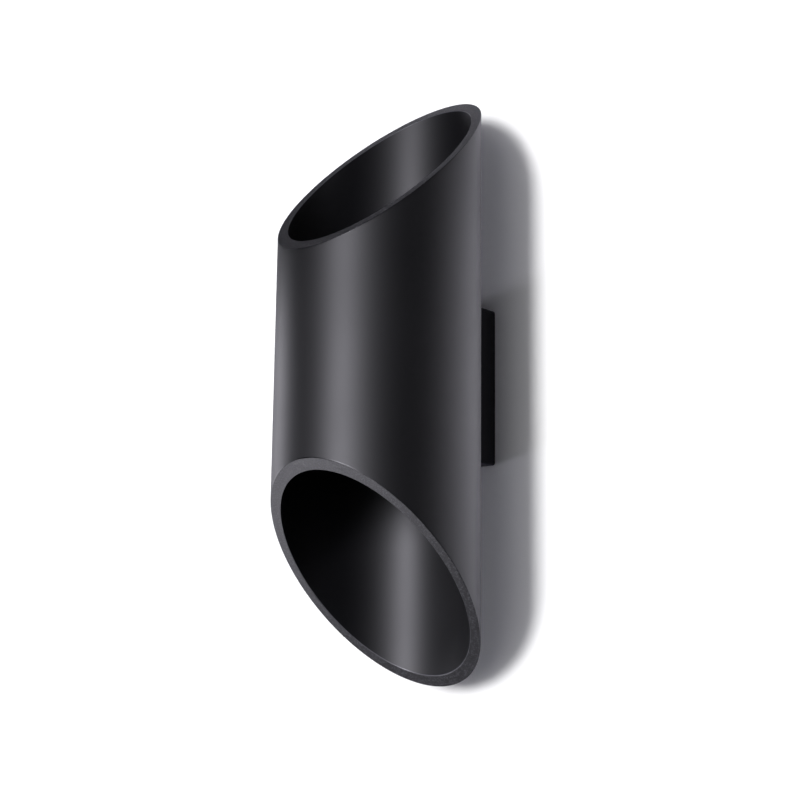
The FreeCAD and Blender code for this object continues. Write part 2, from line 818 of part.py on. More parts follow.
def lug_barrel_place():
    # Height of the barrel's axis above the canopy, and its lower end.
    plate_y = canopy_floor_y + star_washer_thickness
    outer = lead_diameter + 2 * (thread_gap + lug_barrel_wall)
    low_z = earth_stud_up - lug_ring / 2 - lug_neck_width / 2 - lug_barrel_length
    return plate_y + outer / 2, low_z


def earth_lug():
    plate_y = canopy_floor_y + star_washer_thickness
    middle = point(earth_stud_across, plate_y, earth_stud_up)
    plate = rod(lug_ring, lug_thickness, middle, along_y)
    barrel_y, low_z = lug_barrel_place()
    high_z = low_z + lug_barrel_length
    neck = block(
        point(earth_stud_across - lug_neck_width / 2, plate_y, low_z),
        point(earth_stud_across + lug_neck_width / 2, plate_y + lug_thickness, earth_stud_up),
    )
    bore = lead_diameter + 2 * thread_gap
    outer = bore + 2 * lug_barrel_wall
    barrel = rod(outer, high_z - low_z, point(earth_stud_across, barrel_y, low_z), along_z)
    lug = plate.multiFuse([neck, barrel])
    hole = rod(earth_stud_diameter + 2 * screw_play, lug_thickness + 2 * over, middle - along_y * over, along_y)
    barrel_hole = rod(bore, high_z - low_z + over, point(earth_stud_across, barrel_y, low_z - over), along_z)
    return lug.cut([hole, barrel_hole])


def earth_nut():
    seat_y = canopy_floor_y + star_washer_thickness + lug_thickness
    seat = point(earth_stud_across, seat_y, earth_stud_up)
    return hexagon_nut(earth_stud_diameter, earth_nut_width, earth_nut_height, seat, along_y)


def nodes():
    holder = lampholder()
    pair = contacts()
    return {
        "tube_shade": tube_shade(),
        "canopy": canopy(),
        "wall_bracket": wall_bracket(),
        "wall_bracket_nuts": bracket_nuts(),
        "upper_clamp_screw": clamp_screw(1),
        "lower_clamp_screw": clamp_screw(-1),
        "tube_screws": tube_screws(),
        "tube_screw_washers": tube_screw_washers(),
        "tube_screw_nuts": tube_nuts(),
        "lampholder_bracket": lampholder_bracket(),
        "upper_lampholder": holder,
        "lower_lampholder": mirrored_down(holder),
        "upper_lamp_contacts": pair,
        "lower_lamp_contacts": mirrored_down(pair),
        "lampholder_screws": holder_screws(),
        "lampholder_nuts": holder_nuts(),
        "lead_bush": lead_bush(),
        "lead_sleeve": lead_sleeve(),
        "upper_live_lead": lamp_lead(1, -1, live_pole_x),
        "upper_neutral_lead": lamp_lead(1, 1, neutral_pole_x),
        "lower_live_lead": lamp_lead(-1, -1, live_pole_x),
        "lower_neutral_lead": lamp_lead(-1, 1, neutral_pole_x),
        "earth_lead": earth_lead(),
        "lead_ferrules": ferrules(),
        "terminal_block": terminal_block(),
        "terminal_inserts": terminal_inserts(),
        "terminal_screws": terminal_screws(),
        "terminal_block_studs": block_studs(),
        "terminal_block_nuts": block_nuts(),
        "earth_stud": earth_stud(),
        "earth_star_washer": earth_washer(),
        "earth_lug": earth_lug(),
        "earth_nut": earth_nut(),
    }


os.makedirs("parts", exist_ok=True)
for name, shape in nodes().items():
    shape.exportStep("parts/" + name + ".step")
    print(name, len(shape.Solids), "solids", round(shape.Volume, 1), "mm3")
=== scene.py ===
import bmesh
import bpy
import json
import math
from mathutils import Matrix, Vector

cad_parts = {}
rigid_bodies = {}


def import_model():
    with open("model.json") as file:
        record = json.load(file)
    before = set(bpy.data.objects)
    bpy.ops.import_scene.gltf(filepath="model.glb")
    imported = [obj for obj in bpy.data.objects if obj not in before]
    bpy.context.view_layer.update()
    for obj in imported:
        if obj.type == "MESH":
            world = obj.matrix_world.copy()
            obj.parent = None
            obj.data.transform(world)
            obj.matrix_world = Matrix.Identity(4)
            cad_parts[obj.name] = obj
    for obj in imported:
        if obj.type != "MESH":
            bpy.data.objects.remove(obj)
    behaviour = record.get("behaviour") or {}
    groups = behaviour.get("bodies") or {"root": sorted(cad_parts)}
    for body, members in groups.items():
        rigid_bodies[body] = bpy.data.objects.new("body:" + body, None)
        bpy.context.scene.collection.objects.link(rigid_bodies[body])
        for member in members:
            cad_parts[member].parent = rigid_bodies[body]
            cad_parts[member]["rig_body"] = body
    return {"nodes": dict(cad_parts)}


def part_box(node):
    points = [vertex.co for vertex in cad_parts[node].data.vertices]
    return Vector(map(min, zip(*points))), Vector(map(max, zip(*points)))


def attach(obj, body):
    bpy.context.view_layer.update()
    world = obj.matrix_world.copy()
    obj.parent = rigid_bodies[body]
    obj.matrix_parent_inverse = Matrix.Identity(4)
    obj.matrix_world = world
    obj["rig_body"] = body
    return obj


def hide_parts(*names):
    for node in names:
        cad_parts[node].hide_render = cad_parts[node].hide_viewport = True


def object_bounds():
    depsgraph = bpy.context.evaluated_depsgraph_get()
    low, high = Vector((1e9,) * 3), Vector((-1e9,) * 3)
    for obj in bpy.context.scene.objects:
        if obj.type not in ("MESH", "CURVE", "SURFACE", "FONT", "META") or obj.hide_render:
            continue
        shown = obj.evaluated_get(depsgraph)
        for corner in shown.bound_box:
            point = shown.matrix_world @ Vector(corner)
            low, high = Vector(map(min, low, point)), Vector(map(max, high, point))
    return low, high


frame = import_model()
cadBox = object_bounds()
nodes = frame["nodes"]
print("frame loaded:", len(nodes), "nodes")

mm = 0.001  # lengths are in metres, in the CAD's frame


# Shader expressions: a Socket wraps a node's output, and its operators add Math nodes.
class Socket:
    def __init__(self, shader, output):
        self.shader = shader
        self.output = output

    def math(self, operation, *others):
        return self.shader.math(operation, self, *others)

    def __add__(self, other):
        return self.math("ADD", other)

    def __sub__(self, other):
        return self.math("SUBTRACT", other)

    def __mul__(self, other):
        return self.math("MULTIPLY", other)

    def __truediv__(self, other):
        return self.math("DIVIDE", other)

    def __radd__(self, other):
        return self.math("ADD", other)

    def __rmul__(self, other):
        return self.math("MULTIPLY", other)

    def __rsub__(self, other):
        return self.shader.math("SUBTRACT", other, self)

    def __pow__(self, other):
        return self.math("POWER", other)

    def step(self, low, high):  # 0 at low, 1 at high, smooth between
        settings = {"interpolation_type": "SMOOTHSTEP"}
        values = {"Value": self, "From Min": low, "From Max": high}
        return self.shader.node("ShaderNodeMapRange", settings, values)


class Shader:
    def __init__(self, owner):  # a material or a world
        owner.use_nodes = True
        self.owner = owner
        self.tree = owner.node_tree
        self.tree.nodes.clear()
        self.place = self.node("ShaderNodeTexCoord", {}, {}, "Object")

    def node(self, kind, settings, values, out=0):
        made = self.tree.nodes.new(kind)
        for name, value in settings.items():
            setattr(made, name, value)
        for slot, value in values.items():
            if isinstance(value, Socket):
                self.tree.links.new(value.output, made.inputs[slot])
            else:
                made.inputs[slot].default_value = value
        if isinstance(out, tuple):
            return [Socket(self, made.outputs[name]) for name in out]
        return Socket(self, made.outputs[out])

    def math(self, operation, *values):
        return self.node("ShaderNodeMath", {"operation": operation}, dict(enumerate(values)))

    def noise(self, size, detail=2.0, roughness=0.5, stretch=None):
        # Noise whose blotches are about size metres across.
        place = self.place
        if stretch is not None:
            place = self.node("ShaderNodeMapping", {}, {"Vector": place, "Scale": stretch})
        values = {"Vector": place, "Scale": 1 / size, "Detail": detail, "Roughness": roughness}
        return self.node("ShaderNodeTexNoise", {}, values, "Fac")

    def cells(self, size):
        values = {"Vector": self.place, "Scale": 1 / size}
        return self.node("ShaderNodeTexVoronoi", {"feature": "F1"}, values, "Distance")

    def axes(self, centre=(0, 0, 0)):
        values = {0: self.place, 1: centre}
        moved = self.node("ShaderNodeVectorMath", {"operation": "SUBTRACT"}, values)
        return self.node("ShaderNodeSeparateXYZ", {}, {0: moved}, ("X", "Y", "Z"))

    def blend(self, factor, first, second):
        values = {0: factor, 6: first, 7: second}  # a Mix node's sockets for colours
        return self.node("ShaderNodeMix", {"data_type": "RGBA"}, values, 2)

    def bump(self, height, distance, strength=1.0, before=None):
        values = {"Strength": strength, "Distance": distance, "Height": height}
        if before is not None:
            values["Normal"] = before
        return self.node("ShaderNodeBump", {}, values)

    def rays(self, *names):
        return self.node("ShaderNodeLightPath", {}, {}, names)

    def finish(self, sockets):
        return self.link(self.node("ShaderNodeBsdfPrincipled", {}, sockets))

    def link(self, surface, kind="ShaderNodeOutputMaterial"):
        self.node(kind, {}, {"Surface": surface}, ())
        return self.owner


def newMaterial(name, colour):
    material = bpy.data.materials.new(name)
    material.diffuse_color = colour
    return Shader(material)


def grey(level):
    return (level, level, level, 1.0)


# Finishes. A spread is the pair of values between which a pattern fades in, and a name that
# ends in Roughness says how much a pattern changes the roughness.

threadForm = {
    "shankSpread": (0.90, 0.94),  # of the thread's radius
    "outside": 1.1,  # of the thread's radius
    "outsideSpread": (0.0, 0.02 * mm),
    "headSpread": (0.1 * mm, 0.3 * mm),
    "height": 0.8,  # of the pitch
}


def threadBump(shader, thread, before):
    # A screw thread on the shank alone. A thread names the axis it runs along, the place of
    # its head, the axes that mirror it onto its twins, and the side its shank is on.
    places = []
    for index, value in enumerate(shader.axes()):
        part = value.math("ABSOLUTE") if index in thread["twins"] else value
        places.append(part - thread["centre"][index])
    along = places[thread["along"]]
    across, up = [place for index, place in enumerate(places) if index != thread["along"]]
    radius = (across * across + up * up).math("SQRT")
    low, high = threadForm["shankSpread"]
    onShank = radius.step(thread["radius"] * low, thread["radius"] * high)
    outside = thread["radius"] * threadForm["outside"] - radius
    onShank = onShank * outside.step(*threadForm["outsideSpread"])
    onShank = onShank * (along * thread["side"]).step(*threadForm["headSpread"])
    turns = along / thread["pitch"] + up.math("ARCTAN2", across) / (2 * math.pi)
    ridge = (turns.math("FRACT") - 0.5).math("ABSOLUTE")
    return shader.bump(ridge * onShank, thread["pitch"] * threadForm["height"], 1.0, before)


coat = {
    "black": (0.0012, 0.0012, 0.0018, 1.0),
    "grain": 0.45 * mm,
    "grainDepth": 0.012 * mm,
    "grainStrength": 0.55,
    "grainRoughness": 0.10,
    "peel": 2.4 * mm,
    "peelDepth": 0.010 * mm,
    "peelStrength": 0.5,
    "drift": 38 * mm,
    "driftRoughness": 0.05,
    "speck": (0.008, 0.008, 0.009, 1.0),
    "speckGap": 0.9 * mm,
    "speckSpread": (0.14, 0.02),
    "specks": 0.35,
    "rimGrain": 0.9 * mm,
    "rimDepth": 0.14 * mm,
    "rimRoughness": 0.6,
    "rimDust": (0.044, 0.044, 0.048, 1.0),
    "rimDustSpread": (0.51, 0.62),
    "innerEdgeHighlight": (0.060, 0.060, 0.066, 1.0),  # painted highlight: a paler colour on the inner edge for the light its rounding catches
    "edgeShine": 0.17,  # how much smoother both edges are
}


def coatFinish(name, roughness, refraction, rim=None, thread=None):
    # Fine powder coat: a close grain over a faint orange peel, a few paler specks. On the cut
    # rims of the tube it lies thicker and coarser.
    shader = newMaterial(name, grey(0.05))
    grain = shader.noise(coat["grain"], 3.0, 0.6)
    peel = shader.noise(coat["peel"], 1.0)
    drift = shader.noise(coat["drift"], 1.0)
    specks = shader.cells(coat["speckGap"]).step(*coat["speckSpread"])
    colour = shader.blend(specks * coat["specks"], coat["black"], coat["speck"])
    normal = shader.bump(grain, coat["grainDepth"], coat["grainStrength"])
    normal = shader.bump(peel, coat["peelDepth"], coat["peelStrength"], normal)
    rough = roughness + (grain - 0.5) * coat["grainRoughness"]
    rough = rough + (drift - 0.5) * coat["driftRoughness"]
    if rim is not None:
        mask, edges, inner = rim(shader)
        crumbs = shader.noise(coat["rimGrain"], 2.0, 0.7)
        dust = mask * crumbs.step(*coat["rimDustSpread"])
        colour = shader.blend(dust, colour, coat["rimDust"])
        # painted highlight: the inner rounded edge is paler, for the light it catches
        colour = shader.blend(edges * inner, colour, coat["innerEdgeHighlight"])
        normal = shader.bump(crumbs * mask, coat["rimDepth"], 1.0, normal)
        rough = rough - edges * coat["edgeShine"]
        rough = rough + mask * (crumbs - 0.5) * coat["rimRoughness"]
    if thread is not None:
        normal = threadBump(shader, thread, normal)
    return shader.finish({
        "Base Color": colour, "Roughness": rough, "IOR": refraction, "Normal": normal,
    })


metals = {
    "zinc_steel": {
        "bright": (0.66, 0.68, 0.71, 1.0), "dull": (0.55, 0.56, 0.57, 1.0),
        "stain": (0.50, 0.48, 0.42, 1.0), "stained": 0.25, "cloud": 5 * mm,
        "marks": 0.35 * mm, "depth": 0.008 * mm, "roughness": 0.32,
    },
    "spring_nickel": {
        "bright": (0.68, 0.65, 0.58, 1.0), "dull": (0.55, 0.52, 0.46, 1.0),
        "stain": (0.40, 0.36, 0.30, 1.0), "stained": 0.25, "cloud": 1.6 * mm,
        "marks": 0.12 * mm, "depth": 0.003 * mm, "roughness": 0.22,
    },
    "bright_brass": {
        "bright": (0.76, 0.60, 0.31, 1.0), "dull": (0.61, 0.46, 0.22, 1.0),
        "stain": (0.36, 0.23, 0.12, 1.0), "stained": 0.40, "cloud": 2.2 * mm,
        "marks": 0.16 * mm, "depth": 0.005 * mm, "roughness": 0.27,
    },
    "tinned_copper": {
        "bright": (0.73, 0.72, 0.69, 1.0), "dull": (0.58, 0.57, 0.54, 1.0),
        "stain": (0.60, 0.38, 0.26, 1.0), "stained": 0.45, "cloud": 1.3 * mm,
        "marks": 0.15 * mm, "depth": 0.005 * mm, "roughness": 0.34,
    },
}

metalSurface = {  # what all the metals share
    "cloudSpread": (0.30, 0.70),
    "cloudRoughness": 0.14,
    "markStretch": (1.0, 1.0, 0.10),
    "markStrength": 0.6,
    "markRoughness": 0.18,
    "stainSize": 0.3,  # of a cloud
    "stainSpread": (0.56, 0.72),
    "stainRoughness": 0.06,
}


def metalFinish(name, thread=None):
    # Cloudy bare metal with fine upright marks from the rolling or drawing, and a few stains.
    look = metals[name]
    shared = metalSurface
    shader = newMaterial(name, look["bright"])
    cloud = shader.noise(look["cloud"], 3.0, 0.6)
    marks = shader.noise(look["marks"], 3.0, 0.6, shared["markStretch"])
    stains = shader.noise(look["cloud"] * shared["stainSize"], 3.0, 0.7)
    stains = stains.step(*shared["stainSpread"])
    colour = shader.blend(cloud.step(*shared["cloudSpread"]), look["bright"], look["dull"])
    colour = shader.blend(stains * look["stained"], colour, look["stain"])
    rough = look["roughness"] + (cloud - 0.5) * shared["cloudRoughness"]
    rough = rough + (marks - 0.5) * shared["markRoughness"] + stains * shared["stainRoughness"]
    normal = shader.bump(marks, look["depth"], shared["markStrength"])
    if thread is not None:
        normal = threadBump(shader, thread, normal)
    return shader.finish({
        "Base Color": colour, "Roughness": rough, "Metallic": 1.0, "Normal": normal,
    })


mouldings = {
    "porcelain": {
        "pale": (0.86, 0.84, 0.80, 1.0), "shade": (0.79, 0.76, 0.70, 1.0),
        "speck": (0.40, 0.33, 0.25, 1.0), "specks": 0.40, "speckGap": 2.4 * mm,
        "drift": 9 * mm, "grain": 0.32 * mm, "depth": 0.020 * mm,
        "roughness": 0.48, "glaze": 0.35,
    },
    "natural_nylon": {
        "pale": (0.84, 0.82, 0.74, 1.0), "shade": (0.78, 0.75, 0.64, 1.0),
        "speck": (0.55, 0.50, 0.40, 1.0), "specks": 0.25, "speckGap": 3.0 * mm,
        "drift": 7 * mm, "grain": 0.26 * mm, "depth": 0.016 * mm,
        "roughness": 0.42, "glaze": 0.0,
    },
    "black_nylon": {
        "pale": (0.034, 0.034, 0.035, 1.0), "shade": (0.024, 0.024, 0.025, 1.0),
        "speck": (0.09, 0.09, 0.09, 1.0), "specks": 0.30, "speckGap": 1.4 * mm,
        "drift": 4 * mm, "grain": 0.22 * mm, "depth": 0.014 * mm,
        "roughness": 0.50, "glaze": 0.0,
    },
}

mouldedSurface = {  # what all the mouldings share
    "driftSpread": (0.30, 0.70),
    "driftRoughness": 0.12,
    "grainStrength": 0.6,
    "grainRoughness": 0.20,
    "speckSpread": (0.12, 0.04),
    "glazeRoughness": 0.14,  # of the glaze itself
}


def mouldedFinish(name):
    # Pressed ceramic or moulded plastic: a slow drift of tone, a fine matt grain, rare specks.
    look = mouldings[name]
    shared = mouldedSurface
    shader = newMaterial(name, look["pale"])
    drift = shader.noise(look["drift"], 2.0, 0.5)
    grain = shader.noise(look["grain"], 3.0, 0.65)
    specks = shader.cells(look["speckGap"]).step(*shared["speckSpread"])
    colour = shader.blend(drift.step(*shared["driftSpread"]), look["pale"], look["shade"])
    colour = shader.blend(specks * look["specks"], colour, look["speck"])
    rough = look["roughness"] + (grain - 0.5) * shared["grainRoughness"]
    rough = rough + (drift - 0.5) * shared["driftRoughness"]
    normal = shader.bump(grain, look["depth"], shared["grainStrength"])
    return shader.finish({
        "Base Color": colour, "Roughness": rough, "Normal": normal,
        "Coat Weight": look["glaze"], "Coat Roughness": shared["glazeRoughness"],
    })


silicones = {
    "brown_silicone": {
        "colour": (0.200, 0.085, 0.042, 1.0), "bloom": (0.330, 0.200, 0.140, 1.0),
    },
    "blue_silicone": {
        "colour": (0.045, 0.160, 0.430, 1.0), "bloom": (0.190, 0.300, 0.520, 1.0),
    },
    "earth_silicone": {
        "colour": (0.050, 0.300, 0.060, 1.0), "bloom": (0.220, 0.420, 0.200, 1.0),
    },
}

siliconeSurface = {  # what all the leads share
    "earthBand": (0.780, 0.640, 0.040, 1.0),
    "bandSpread": (0.48, 0.56),
    "dust": 1.4 * mm,
    "dustSpread": (0.45, 0.75),
    "dustRoughness": 0.30,
    "blooms": 0.35,
    "roughness": 0.40,
    "ripple": 0.5 * mm,
    "rippleDepth": 0.020 * mm,
    "rippleStrength": 0.5,
}


def siliconeFinish(name, banded=False):
    # Rubbery insulation with a dusty bloom, the earth lead with two yellow bands along it.
    look = silicones[name]
    shared = siliconeSurface
    shader = newMaterial(name, look["colour"])
    dust = shader.noise(shared["dust"], 3.0, 0.65)
    ripple = shader.noise(shared["ripple"], 2.0, 0.5)
    colour = look["colour"]
    if banded:
        band = shader.node("ShaderNodeAttribute", {"attribute_name": "band"}, {}, "Fac")
        band = band.math("ABSOLUTE").step(*shared["bandSpread"])
        colour = shader.blend(band, colour, shared["earthBand"])
    blooms = dust.step(*shared["dustSpread"]) * shared["blooms"]
    colour = shader.blend(blooms, colour, look["bloom"])
    rough = shared["roughness"] + (dust - 0.5) * shared["dustRoughness"]
    normal = shader.bump(ripple, shared["rippleDepth"], shared["rippleStrength"])
    return shader.finish({"Base Color": colour, "Roughness": rough, "Normal": normal})


braid = {
    "pale": (0.82, 0.80, 0.73, 1.0),
    # painted shade: the colour of the gaps between the strands
    "shade": (0.42, 0.39, 0.32, 1.0),
    "strands": 14,  # each way round the sleeve
    "strandSpread": (0.45, 0.90),
    "pitch": 2.6 * mm,
    "fibre": 0.14 * mm,
    "fibreHeight": 0.2,  # of a strand's
    "fibreRoughness": 0.3,
    "depth": 0.22 * mm,
    "strength": 0.8,
    "roughness": 0.62,
}


def braidFinish(name):
    # Glass fibre braid: two sets of strands that cross around the sleeve's axis, with painted
    # shade in the gaps between them.
    shader = newMaterial(name, braid["pale"])
    across, along, up = shader.axes()
    around = up.math("ARCTAN2", across) * (braid["strands"] / 2)
    climb = along * (math.pi / braid["pitch"])
    one = (around + climb).math("SINE").math("ABSOLUTE")
    other = (around - climb).math("SINE").math("ABSOLUTE")
    weave = one.math("MAXIMUM", other)
    fibres = shader.noise(braid["fibre"], 2.0, 0.6)
    # painted shade: darker where the strands dip, in the gaps between them
    colour = shader.blend(weave.step(*braid["strandSpread"]), braid["shade"], braid["pale"])
    height = weave + fibres * braid["fibreHeight"]
    normal = shader.bump(height, braid["depth"], braid["strength"])
    rough = braid["roughness"] + (fibres - 0.5) * braid["fibreRoughness"]
    return shader.finish({"Base Color": colour, "Roughness": rough, "Normal": normal})


print("finishes ready")


# Tube

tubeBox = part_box("tube_shade")
tube = {
    "radius": (tubeBox[1].x - tubeBox[0].x) / 2,
    "axisY": (tubeBox[0].y + tubeBox[1].y) / 2,
    "top": tubeBox[1].z,
    "wall": 5 * mm,
    "slope": 1.0,  # of both mitres
    "segments": 288,
    "rows": 36,
    "weld": 0.01 * mm,
    "rimAngle": math.radians(20),  # edges sharper than this are rims
    "rim": 0.30 * mm,  # radius of the rims' rounded edges
    "rimSteps": 3,
    "holes": (  # height and width, in its back
        (0.0, 7.79 * mm),
        (10 * mm, 4.5 * mm),
        (-10 * mm, 4.5 * mm),
    ),
    "drill": 15 * mm,
    "drillSegments": 32,
    "coat": (0.50, 1.52),  # roughness and refraction
    "boreCoat": (0.47, 1.44),  # thinner, so smoother
    "upright": 0.01,  # the bore's normals lean less than this
    "rimSpread": (-0.12 * mm, -0.04 * mm),  # heights over the mitre
    "edgeSpread": (-0.50 * mm, -0.42 * mm),
    "innerSpread": (0.0, 0.1 * mm),  # from the middle of the wall inwards
}


def rimMasks(shader):
    # 1 on the cut rims, 1 on their rounded edges, and 1 towards the bore
    across, along, up = shader.axes((0, tube["axisY"], 0))
    mitre = tube["top"] - tube["radius"] * tube["slope"] + along * tube["slope"]
    height = up.math("ABSOLUTE") - mitre
    rim = height.step(*tube["rimSpread"])
    edges = height.step(*tube["edgeSpread"]) * (1 - rim)
    radius = (across * across + along * along).math("SQRT")
    middle = tube["radius"] - tube["wall"] / 2
    return rim, edges, (middle - radius).step(*tube["innerSpread"])


def addPiece(name, mesh):
    data = bpy.data.meshes.new(name)
    mesh.to_mesh(data)
    mesh.free()
    piece = bpy.data.objects.new(name, data)
    bpy.context.scene.collection.objects.link(piece)
    return piece


def shadeEvenly(piece):
    even = piece.modifiers.new("even shading", "WEIGHTED_NORMAL")
    even.weight = 100


def grownRow(mesh, edges):
    made = bmesh.ops.extrude_edge_only(mesh, edges=edges)["geom"]
    verts = [item for item in made if isinstance(item, bmesh.types.BMVert)]
    return verts, [item for item in made if isinstance(item, bmesh.types.BMEdge)]


def placeRow(verts, radius, share):  # share runs from -1, the lower mitre, to 1, the upper one
    for vert in verts:
        out = Vector((vert.co.x, vert.co.y - tube["axisY"])).normalized() * radius
        mitre = tube["top"] - (tube["radius"] - out.y) * tube["slope"]
        vert.co = Vector((out.x, tube["axisY"] + out.y, share * mitre))


def tubeSkin():
    # One closed skin: up the outside, over the top rim, down the inside, back under.
    outer = tube["radius"]
    inner = outer - tube["wall"]
    mesh = bmesh.new()
    start = bmesh.ops.create_circle(mesh, segments=tube["segments"], radius=outer)["verts"]
    bmesh.ops.translate(mesh, verts=start, vec=(0, tube["axisY"], 0))
    edges = list(mesh.edges)
    placeRow(start, outer, -1)
    for radius, direction, first in ((outer, 1, 1), (inner, -1, 0)):
        for step in range(first, tube["rows"] + 1):
            verts, edges = grownRow(mesh, edges)
            placeRow(verts, radius, direction * (2 * step / tube["rows"] - 1))
    verts, edges = grownRow(mesh, edges)
    placeRow(verts, outer, -1)
    bmesh.ops.remove_doubles(mesh, verts=verts + start, dist=tube["weld"])
    bmesh.ops.recalc_face_normals(mesh, faces=mesh.faces)
    rims = [
        edge for edge in mesh.edges
        if edge.is_manifold and edge.calc_face_angle() > tube["rimAngle"]
    ]
    bmesh.ops.bevel(
        mesh, geom=rims, offset=tube["rim"], offset_type="OFFSET", affect="EDGES",
        segments=tube["rimSteps"], profile=0.5, material=-1,
    )
    for face in mesh.faces:
        face.smooth = True
        middle = face.calc_center_median()
        inward = Vector((middle.x, middle.y - tube["axisY"])).dot(face.normal.xy) < 0
        face.material_index = 1 if inward and abs(face.normal.z) < tube["upright"] else 0
    return mesh


def tubeDrills():
    mesh = bmesh.new()
    turn = Matrix.Rotation(math.radians(90), 4, "X")
    for height, width in tube["holes"]:
        place = Matrix.Translation((0, tube["axisY"] + tube["radius"], height))
        bmesh.ops.create_cone(
            mesh, cap_ends=True, segments=tube["drillSegments"], radius1=width / 2,
            radius2=width / 2, depth=tube["drill"], matrix=place @ turn,
        )
    return mesh


def buildTube():
    shell = addPiece("tube_shell", tubeSkin())
    shell.data.materials.append(coatFinish("tube_coat", *tube["coat"], rimMasks))
    shell.data.materials.append(coatFinish("tube_bore", *tube["boreCoat"], rimMasks))
    drill = addPiece("drill", tubeDrills())
    cut = shell.modifiers.new("holes", "BOOLEAN")
    cut.operation = "DIFFERENCE"
    cut.solver = "EXACT"
    cut.object = drill
    drilled = shell.evaluated_get(bpy.context.evaluated_depsgraph_get())
    data = bpy.data.meshes.new_from_object(drilled)
    shell.modifiers.clear()
    shell.data = data
    bpy.data.objects.remove(drill)
    shadeEvenly(shell)
    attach(shell, "lamp")
    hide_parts("tube_shade")


buildTube()
print("tube made")


# Every other piece is a merged copy of its CAD piece, with softened edges and even shading

softening = {
    "weld": 0.003 * mm,
    "flat": math.radians(1),  # facets closer than this lie in one face
    "sharp": math.radians(35),
    "steps": 2,
}


def softenedCopy(name, material, edge, banded=False):
    mesh = bmesh.new()
    mesh.from_mesh(nodes[name].data)
    bmesh.ops.remove_doubles(mesh, verts=mesh.verts, dist=softening["weld"])
    bmesh.ops.dissolve_limit(
        mesh, angle_limit=softening["flat"], verts=mesh.verts, edges=mesh.edges,
    )
    if edge > 0:
        corners = [
            item for item in mesh.edges
            if item.is_manifold and item.calc_face_angle() > softening["sharp"]
        ]
        bmesh.ops.bevel(
            mesh, geom=corners, offset=edge, offset_type="OFFSET", affect="EDGES",
            segments=softening["steps"], profile=0.5, material=-1, clamp_overlap=True,
        )
    for face in mesh.faces:
        face.smooth = True
        face.material_index = 0
    piece = addPiece(name + "_soft", mesh)
    if banded:
        band = piece.data.attributes.new("band", "FLOAT", "POINT")
        for vert in piece.data.vertices:
            band.data[vert.index].value = vert.normal.x
    piece.data.materials.append(material)
    shadeEvenly(piece)
    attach(piece, nodes[name]["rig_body"])
    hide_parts(name)
    nodes[name].data.materials.clear()
    nodes[name].data.materials.append(material)


zincMaterial = metalFinish("zinc_steel")

# Canopy, and the two clamp screws that hold it to the wall bracket

clamp = {
    "canopyEdge": 0.20 * mm,
    "canopyCoat": (0.55, 1.2),  # roughness and refraction
    "screwEdge": 0.10 * mm,
    "screwCoat": (0.42, 1.5),
    "thread": {  # of the two clamp screws
        "along": 2, "centre": (0.0, -7 * mm, 40 * mm), "twins": (2,), "side": -1,
        "radius": 2 * mm, "pitch": 0.7 * mm,
    },
}

canopyMaterial = coatFinish("canopy_coat", *clamp["canopyCoat"])
softenedCopy("canopy", canopyMaterial, clamp["canopyEdge"])
screwMaterial = coatFinish("black_screw", *clamp["screwCoat"], thread=clamp["thread"])
for side in ("upper", "lower"):
    softenedCopy(side + "_clamp_screw", screwMaterial, clamp["screwEdge"])
print("canopy made")


# Wall bracket

bracket = {"edge": 0.18 * mm, "nutEdge": 0.10 * mm}

softenedCopy("wall_bracket", zincMaterial, bracket["edge"])
softenedCopy("wall_bracket_nuts", zincMaterial, bracket["nutEdge"])
print("wall bracket made")


# Lampholders, their bracket and what holds them in the tube

holders = {
    "ceramicEdge": 0.25 * mm,
    "bracketEdge": 0.18 * mm,
    "contactEdge": 0.05 * mm,
    "screwEdge": 0.08 * mm,
    "tubeThread": {  # two screws along Y, heads in the canopy
        "along": 1, "centre": (0.0, -16.3 * mm, 10 * mm), "twins": (2,), "side": -1,
        "radius": 2 * mm, "pitch": 0.7 * mm,
    },
    "holderThread": {  # four upright screws, heads on the ceramic
        "along": 2, "centre": (13.5 * mm, tube["axisY"], 20 * mm), "twins": (0, 2), "side": -1,
        "radius": 1.5 * mm, "pitch": 0.5 * mm,
    },
}

softenedCopy("lampholder_bracket", zincMaterial, holders["bracketEdge"])
ceramicMaterial = mouldedFinish("porcelain")
contactMaterial = metalFinish("spring_nickel")
for side in ("upper", "lower"):
    softenedCopy(side + "_lampholder", ceramicMaterial, holders["ceramicEdge"])
    softenedCopy(
        side + "_lamp_contacts", contactMaterial, holders["contactEdge"],
    )
for name, thread in (("tube_screws", "tubeThread"), ("lampholder_screws", "holderThread")):
    threaded = metalFinish("zinc_steel", holders[thread])
    softenedCopy(name, threaded, holders["screwEdge"])
for name in ("tube_screw_washers", "tube_screw_nuts", "lampholder_nuts"):
    softenedCopy(name, zincMaterial, holders["screwEdge"])
print("lampholders made")


# Leads, their bush and sleeve

leads = {"bushEdge": 0.12 * mm, "sleeveEdge": 0.10 * mm}

brownMaterial = siliconeFinish("brown_silicone")
blueMaterial = siliconeFinish("blue_silicone")
earthMaterial = siliconeFinish("earth_silicone", banded=True)
bushMaterial = mouldedFinish("black_nylon")
sleeveMaterial = braidFinish("glass_sleeve")
for side in ("upper", "lower"):
    softenedCopy(side + "_live_lead", brownMaterial, 0)
    softenedCopy(side + "_neutral_lead", blueMaterial, 0)
softenedCopy("earth_lead", earthMaterial, 0, banded=True)
softenedCopy("lead_bush", bushMaterial, leads["bushEdge"])
softenedCopy("lead_sleeve", sleeveMaterial, leads["sleeveEdge"])
print("leads made")


# Terminal block and earth stud

